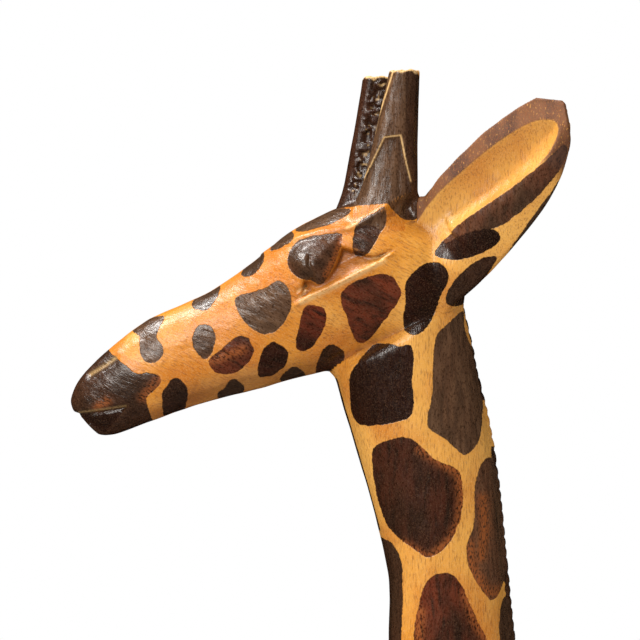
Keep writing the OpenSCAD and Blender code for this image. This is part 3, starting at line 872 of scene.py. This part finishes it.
def painted(name, points, seeds):
    """All the paint of one piece."""
    coat = Paint(points)
    if name == "head" or name in EARS:
        paint_head(coat, name in EARS)
    if name in EARS:
        coat.paint[:] = np.minimum(coat.paint, 6.0 - ear_plan(*points.T)[0])
        paint_ear(coat, EARS[name])
    elif name == "head":
        coat.rim = ear_rim(points)
        # Painted shade: the brown wash darkens the underside of the jaw.
        jaw_shade = smooth((np.interp(coat.u, *zip(*JAW_EDGE)) + 9.0 - coat.v) / 12.0)
        coat.rim = np.maximum(coat.rim, 0.55 * jaw_shade * (coat.u < THROAT))
        # Painted shade: the brown wash darkens the hollow round the eye too.
        socket = smooth(inside(coat.u, coat.v, EYE_HOLLOW) / 5.0)
        coat.rim = np.maximum(coat.rim, 0.35 * socket)
    elif name == "neck":
        paint_neck(coat, seeds)
    elif name == "torso":
        spread_patches(coat, seeds, 9.0)
    elif name in LEGS:
        paint_leg(coat, seeds)
    elif name == "tail":
        coat.lay(np.full(len(points), 6.0), 0.2, 0.3)
    elif name in HORNS:
        paint_head(coat, False)
        top = points[:, 2] - HORN_TOP + 2.2 + 1.2 * lattice(points[:, 0] / 2.5, points[:, 1] / 2.5, 0.0, 34)
        coat.bare = smooth(top / 1.0)
        if name == "horn_left":
            coat.lines([(line, 0.35, 0.9) for line in HORN_SCRAPES], coat.bare)
            coat.thin = np.where(coat.u < 167.0, 0.8, 0.3)
        else:
            # Pale chips in the nicks: chipped wood, and painted glints on the glossy notches.
            chips_and_glints = smooth(3.0 * lattice(points[:, 0] / 1.3, 0.0, points[:, 2] / 1.1, 35) - 1.4)
            nicked = line_glow(to_line(coat.u, coat.v, HORN_NICKS), NICK_WIDTH)
            coat.bare = np.maximum(coat.bare, 0.6 * chips_and_glints * nicked)
            coat.thin = np.minimum(coat.thin, 0.1)
    coat.lines(RUSTY, coat.rust)
    # The wood is paler towards the ears and down the neck.
    coat.straw = smooth((coat.u - 150.0 + 0.6 * (90.0 - coat.v)) / 55.0)
    coat.straw = coat.straw * np.interp(coat.v, [-110.0, -30.0], [0.1, 1.0])
    if name in EARS or name == "head":
        coat.straw = np.maximum(coat.straw, smooth(ear_plan(*points.T)[0] / 10.0))
    return coat


# --- Materials ---


def linear(red, green, blue):
    """An sRGB colour with channels from 0 to 255, as the shader takes it."""
    channel = [c / 255.0 for c in (red, green, blue)]
    return tuple(c / 12.92 if c < 0.04 else ((c + 0.055) / 1.055) ** 2.4 for c in channel) + (1.0,)


class Nodes:
    """Short names for the nodes of one material."""

    def __init__(self, name):
        self.material = bpy.data.materials.new(name)
        self.material.use_nodes = True
        self.tree = self.material.node_tree
        self.shader = self.tree.nodes["Principled BSDF"]

    def add(self, kind, inputs=None, **settings):
        node = self.tree.nodes.new("ShaderNode" + kind)
        for key, value in settings.items():
            setattr(node, key, value)
        for key, value in (inputs or {}).items():
            self.put(node.inputs[key], value)
        return node

    def put(self, socket, value):
        if isinstance(value, bpy.types.NodeSocket):
            self.tree.links.new(value, socket)
        else:
            socket.default_value = value

    def stored(self, name):
        """A value stored on the piece's points."""
        return self.add("Attribute", attribute_name=name).outputs["Fac"]

    def math(self, operation, a, b=0.0):
        return self.add("Math", {0: a, 1: b}, operation=operation).outputs["Value"]

    def times(self, a, b):
        return self.math("MULTIPLY", a, b)

    def between(self, value, low, high):
        """0 below low, 1 above high, and smooth between."""
        node = self.add(
            "MapRange",
            {"Value": value, "From Min": low, "From Max": high},
            interpolation_type="SMOOTHSTEP",
        )
        return node.outputs["Result"]

    def mix(self, factor, a, b):
        node = self.add("Mix", data_type="RGBA")
        self.put(node.inputs[0], factor)
        self.put(node.inputs[6], a)
        self.put(node.inputs[7], b)
        return node.outputs[2]

    def noise(self, where, scale, stretch=(1.0, 1.0, 1.0), detail=2.0):
        """Noise with a size of 1 / scale metres, pulled out along an axis by the stretch."""
        place = self.add("Mapping", {"Vector": where, "Scale": [1.0 / s for s in stretch]})
        return self.add(
            "TexNoise", {"Vector": place.outputs["Vector"], "Scale": scale, "Detail": detail}
        ).outputs["Fac"]

    def bump(self, height, distance, normal=None):
        inputs = {"Height": height, "Distance": distance, "Strength": 1.0}
        if normal is not None:
            inputs["Normal"] = normal
        return self.add("Bump", inputs).outputs["Normal"]


HONEY = linear(208, 132, 24)
AMBER = linear(192, 108, 8)
STRAW = linear(228, 166, 74)
SCORCH = linear(112, 52, 14)
PALE = linear(232, 188, 124)
BLACK_STAIN = linear(26, 10, 4)
RED_STAIN = linear(108, 38, 8)
THIN_STAIN = linear(112, 80, 54)
RUST = linear(150, 78, 26)
# Brown wash, on the ears' rims; the same colours lay painted shade under the jaw and round the eye.
WASH_AND_SHADE = linear(116, 72, 38)
WASH_AND_SHADE_DARK = linear(74, 44, 26)


def painted_wood(name, tilt):
    """Honey wood with brown stain. The grain runs upright, or tilted about Y by an angle."""
    n = Nodes(name)
    place = n.add("TexCoord").outputs["Object"]
    turned = n.add("VectorRotate", {"Vector": place, "Angle": tilt}, rotation_type="Y_AXIS")
    place = turned.outputs["Vector"]
    cloud = n.noise(place, 28.0)
    drift = n.noise(place, 75.0, (1.0, 1.0, 2.5))
    fibre = n.noise(place, 1600.0, (1.0, 1.0, 6.0))
    fleck = n.noise(place, 1300.0, (1.0, 1.0, 2.0), 4.0)
    speck = n.noise(place, 2400.0)
    streak = n.noise(place, 420.0, (1.0, 1.0, 6.0), 3.0)
    turn = n.stored("turn")

    gold = n.mix(n.between(cloud, 0.35, 0.65), AMBER, HONEY)
    gold = n.mix(n.times(n.between(drift, 0.5, 0.75), 0.5), gold, STRAW)
    gold = n.mix(n.times(n.between(streak, 0.5, 0.75), 0.35), gold, AMBER)
    gold = n.mix(n.times(n.stored("straw"), n.between(cloud, 0.1, 0.7)), gold, STRAW)
    gold = n.mix(n.times(n.between(fibre, 0.48, 0.7), 0.48), gold, SCORCH)
    gold = n.mix(n.times(n.between(speck, 0.5, 0.7), 0.35), gold, PALE)

    # Brown wash on the ears; the same wash lays painted shade under the jaw and in the eye's hollow.
    wash = n.mix(n.between(drift, 0.35, 0.62), WASH_AND_SHADE_DARK, WASH_AND_SHADE)
    wash = n.mix(n.times(n.between(speck, 0.45, 0.65), 0.5), wash, RUST)
    gold = n.mix(n.times(n.stored("rim"), n.between(fleck, 0.15, 0.45)), gold, wash)

    # Painted shade: the gold darkens towards scorched brown in creases, where the surface turns inwards.
    crease_shade = n.between(n.times(turn, -1.0), 0.15, 0.9)
    gold = n.mix(n.times(crease_shade, 0.6), gold, SCORCH)

    thin = n.stored("thin")
    patchy = n.math("ADD", 0.5, n.times(n.between(streak, 0.35, 0.7), 0.5))
    ruddy = n.times(n.stored("red"), n.between(drift, 0.25, 0.65))
    ruddy = n.times(ruddy, n.between(streak, 0.2, 0.6))
    stain = n.mix(ruddy, BLACK_STAIN, RED_STAIN)
    stain = n.mix(n.times(patchy, n.times(thin, 0.9)), stain, THIN_STAIN)
    rusty = n.times(n.stored("rust"), n.between(fleck, 0.3, 0.62))
    stain = n.mix(rusty, stain, RUST)
    stain = n.mix(n.times(n.between(speck, 0.5, 0.7), 0.45), stain, THIN_STAIN)
    stain = n.mix(n.times(n.between(fleck, 0.5, 0.35), 0.5), stain, BLACK_STAIN)

    wobble = n.times(n.math("SUBTRACT", n.noise(place, 230.0), 0.5), 1.4)
    ragged = n.times(n.math("SUBTRACT", n.noise(place, 900.0), 0.5), 0.8)
    edge = n.math("ADD", n.stored("paint"), n.math("ADD", wobble, ragged))
    cover = n.between(edge, -0.15, 0.3)
    worn = n.times(n.between(turn, 0.9, 1.6), n.between(fleck, 0.5, 0.62))
    cover = n.times(cover, n.math("SUBTRACT", 1.0, n.times(worn, 0.5)))
    colour = n.mix(cover, gold, stain)

    # Pale wood where it is bare, and painted highlights and glints on some ridges and nicks.
    bare = n.times(n.stored("bare"), n.between(fleck, 0.25, 0.5))
    colour = n.mix(n.times(bare, 0.9), colour, PALE)
    n.put(n.shader.inputs["Base Color"], colour)

    rough = n.math("SUBTRACT", 0.36, n.times(cover, 0.06))
    rough = n.math("ADD", rough, n.times(n.math("SUBTRACT", fleck, 0.5), 0.35))
    dull = n.math("MAXIMUM", bare, n.stored("rim"))
    n.put(n.shader.inputs["Roughness"], n.math("MAXIMUM", rough, n.times(dull, 0.65)))
    normal = n.bump(speck, 0.00007)
    normal = n.bump(fibre, 0.00015, normal)
    normal = n.bump(n.times(cover, streak), 0.00025, normal)
    n.put(n.shader.inputs["Normal"], n.bump(n.noise(place, 160.0, (1.0, 1.0, 2.0)), 0.0008, normal))
    return n.material


def turned_beech():
    """Bare dowel wood, with grain along Z and short flecks."""
    n = Nodes("turned_beech")
    place = n.add("TexCoord").outputs["Object"]
    grain = n.noise(place, 700.0, (1.0, 1.0, 14.0), 3.0)
    fleck = n.noise(place, 1400.0, (1.0, 1.0, 4.0))
    colour = n.mix(n.between(grain, 0.35, 0.7), linear(222, 186, 138), linear(184, 136, 86))
    colour = n.mix(n.times(n.between(fleck, 0.6, 0.72), 0.5), colour, linear(140, 92, 52))
    n.put(n.shader.inputs["Base Color"], colour)
    n.put(n.shader.inputs["Roughness"], n.math("ADD", 0.45, n.times(grain, 0.25)))
    n.put(n.shader.inputs["Normal"], n.bump(grain, 0.00015))
    return n.material


UPRIGHT = painted_wood("painted_wood_upright", 0.0)
ALONG_HEAD = painted_wood("painted_wood_head", math.radians(62.0))
ALONG_BACK = painted_wood("painted_wood_back", math.radians(90.0))
GRAIN = {"head": ALONG_HEAD, "torso": ALONG_BACK}


def finish_piece(name, piece, coat, turn):
    """Stores the paint on the piece's points, and gives it its material and its place."""
    values = {key: getattr(coat, key) for key in LAYERS}
    values["turn"] = turn
    for key, numbers in values.items():
        layer = piece.data.attributes.new(key, "FLOAT", "POINT")
        layer.data.foreach_set("value", numbers.astype(np.float32))
    piece.data.materials.append(GRAIN.get(name, UPRIGHT))
    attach(piece, "root")
    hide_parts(name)


carved = {name: carve(name) for name in PEGS}
coated = [carved[name][1] for name in ["torso", "neck"] + LEGS]
body = np.concatenate(coated)
body = body[(body[:, 2] < NECK_HANDOVER + 4.0) & (body[:, 2] > PASTERN_TOP + 2.0)]
patch_seeds = scatter(body, body_spacing, 63)
for name, (piece, points, turn) in carved.items():
    finish_piece(name, piece, painted(name, points, patch_seeds), turn)

beech = turned_beech()
for name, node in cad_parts.items():
    if name not in PEGS:
        for slot in node.material_slots:
            slot.material = beech


# --- Stage ---


FLOOR_WHITE = 0.78
WORLD_LIGHT = 0.62  # the strength of the world as light
CAMERA_DISTANCE = 1.2
VIEW_WIDTH = 0.32  # what the picture shows at the statue's middle plane
SENSOR = 36.0


def floor():
    """A large pale plane, left out of reflections."""
    bpy.ops.mesh.primitive_plane_add(size=12.0, location=(0, 0, 0))
    plane = bpy.context.object
    plane.name = "studio_floor"
    n = Nodes("studio_floor")
    n.put(n.shader.inputs["Base Color"], (FLOOR_WHITE, FLOOR_WHITE, FLOOR_WHITE, 1.0))
    n.put(n.shader.inputs["Roughness"], 0.9)
    plane.data.materials.append(n.material)
    plane.visible_glossy = False


def area_light(name, position, target, size, power, colour):
    """A round lamp that faces the target."""
    data = bpy.data.lights.new(name, "AREA")
    data.shape = "DISK"
    data.size = size
    data.energy = power
    data.color = colour
    lamp = bpy.data.objects.new(name, data)
    lamp.location = position
    lamp.rotation_euler = (Vector(target) - Vector(position)).to_track_quat("-Z", "Y").to_euler()
    bpy.context.scene.collection.objects.link(lamp)


def camera():
    """Looks at the head's left side, straight from the side."""
    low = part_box("head")[0]
    target = Vector((low.x + 0.125, 0.0, low.z + 0.058))
    data = bpy.data.cameras.new("camera")
    data.sensor_width = SENSOR
    data.lens = SENSOR * CAMERA_DISTANCE / VIEW_WIDTH
    data.clip_end = 20.0
    eye = bpy.data.objects.new("camera", data)
    eye.location = target + Vector((0.0, -CAMERA_DISTANCE, 0.0))
    eye.rotation_euler = (math.pi / 2, 0.0, 0.0)
    bpy.context.scene.collection.objects.link(eye)
    bpy.context.scene.camera = eye


def studio_world():
    """White to the camera, a softer white as light, and left out of reflections, as a studio is."""
    world = bpy.data.worlds.new("studio")
    world.use_nodes = True
    tree = world.node_tree
    background = tree.nodes["Background"]
    background.inputs["Color"].default_value = (1.0, 1.0, 1.0, 1.0)
    path = tree.nodes.new("ShaderNodeLightPath")
    strength = tree.nodes.new("ShaderNodeMath")
    strength.operation = "MAXIMUM"
    strength.inputs[1].default_value = WORLD_LIGHT
    tree.links.new(path.outputs["Is Camera Ray"], strength.inputs[0])
    tree.links.new(strength.outputs["Value"], background.inputs["Strength"])
    bpy.context.scene.world = world
    world.cycles_visibility.glossy = False


floor()
area_light("overhead", (-0.95, -0.1, 2.5), (-0.1, 0, 1.05), 0.45, 34, (1.0, 0.98, 0.95))
area_light("front", (-1.1, -1.9, 2.2), (0, 0, 1.0), 0.6, 38, (1.0, 0.97, 0.92))
camera()
studio_world()
bpy.context.scene.view_settings.view_transform = "Standard"
